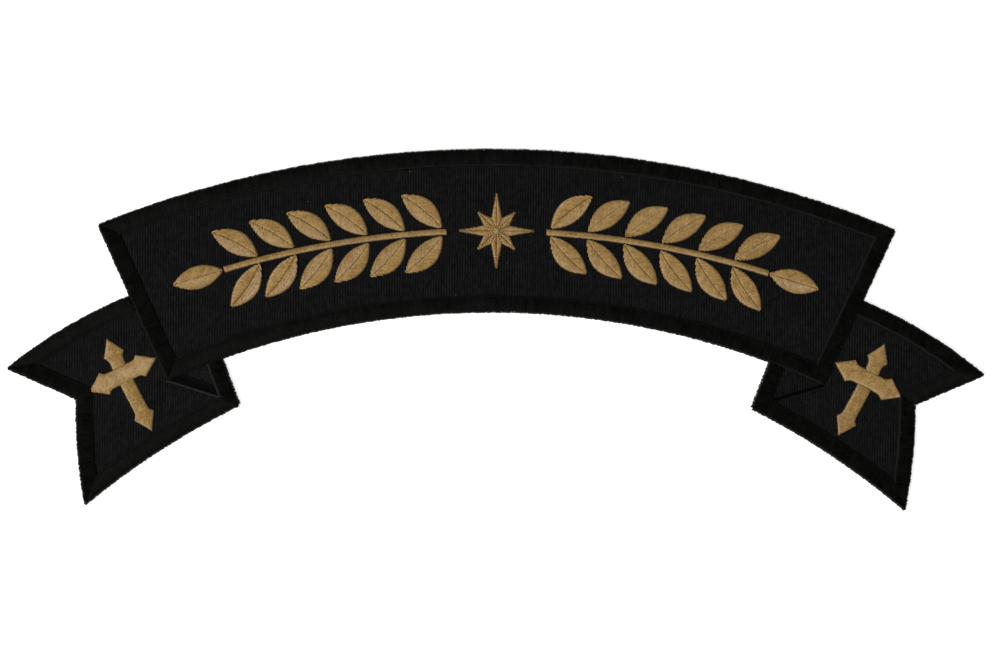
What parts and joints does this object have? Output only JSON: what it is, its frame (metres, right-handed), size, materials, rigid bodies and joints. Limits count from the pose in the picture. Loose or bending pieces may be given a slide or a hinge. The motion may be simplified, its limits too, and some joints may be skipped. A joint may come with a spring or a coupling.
{
  "type": "rocker patch",
  "caption": "Arched cloth rocker patch with folded swallow tails, satin-stitch borders and gold star, laurel and cross embroidery, sewn or ironed onto a garment's back.",
  "frame": {"origin": "under the middle of the patch's outline, on the plane that its back lies on", "axes": "+X along the patch to the right of the face, +Y towards the top of the arch, +Z out of the embroidered face"},
  "size_m": [0.3046, 0.1119, 0.0021],
  "materials": {
    "black_twill": "matt black twill cloth with fine upright ribs",
    "black_satin_thread": "black rayon embroidery thread in satin stitch, soft sheen",
    "gold_satin_thread": "old-gold rayon embroidery thread in satin stitch, soft sheen"
  },
  "bodies": {
    "root": {"band_border": "black_satin_thread", "left_cross_bar": "gold_satin_thread", "left_cross_shaft": "gold_satin_thread", "left_cross_top": "gold_satin_thread", "left_fold_line": "black_satin_thread", "left_leaf_01": "gold_satin_thread", "left_leaf_02": "gold_satin_thread", "left_leaf_03": "gold_satin_thread", "left_leaf_04": "gold_satin_thread", "left_leaf_05": "gold_satin_thread", "left_leaf_06": "gold_satin_thread", "left_leaf_07": "gold_satin_thread", "left_leaf_08": "gold_satin_thread", "left_leaf_09": "gold_satin_thread", "left_leaf_10": "gold_satin_thread", "left_leaf_11": "gold_satin_thread", "left_leaf_12": "gold_satin_thread", "left_leaf_13": "gold_satin_thread", "left_stem": "gold_satin_thread", "left_tail_border": "black_satin_thread", "right_cross_bar": "gold_satin_thread", "right_cross_shaft": "gold_satin_thread", "right_cross_top": "gold_satin_thread", "right_fold_line": "black_satin_thread", "right_leaf_01": "gold_satin_thread", "right_leaf_02": "gold_satin_thread", "right_leaf_03": "gold_satin_thread", "right_leaf_04": "gold_satin_thread", "right_leaf_05": "gold_satin_thread", "right_leaf_06": "gold_satin_thread", "right_leaf_07": "gold_satin_thread", "right_leaf_08": "gold_satin_thread", "right_leaf_09": "gold_satin_thread", "right_leaf_10": "gold_satin_thread", "right_leaf_11": "gold_satin_thread", "right_leaf_12": "gold_satin_thread", "right_leaf_13": "gold_satin_thread", "right_stem": "gold_satin_thread", "right_tail_border": "black_satin_thread", "star": "gold_satin_thread", "twill_ground": "black_twill"}
  },
  "joints": []
}
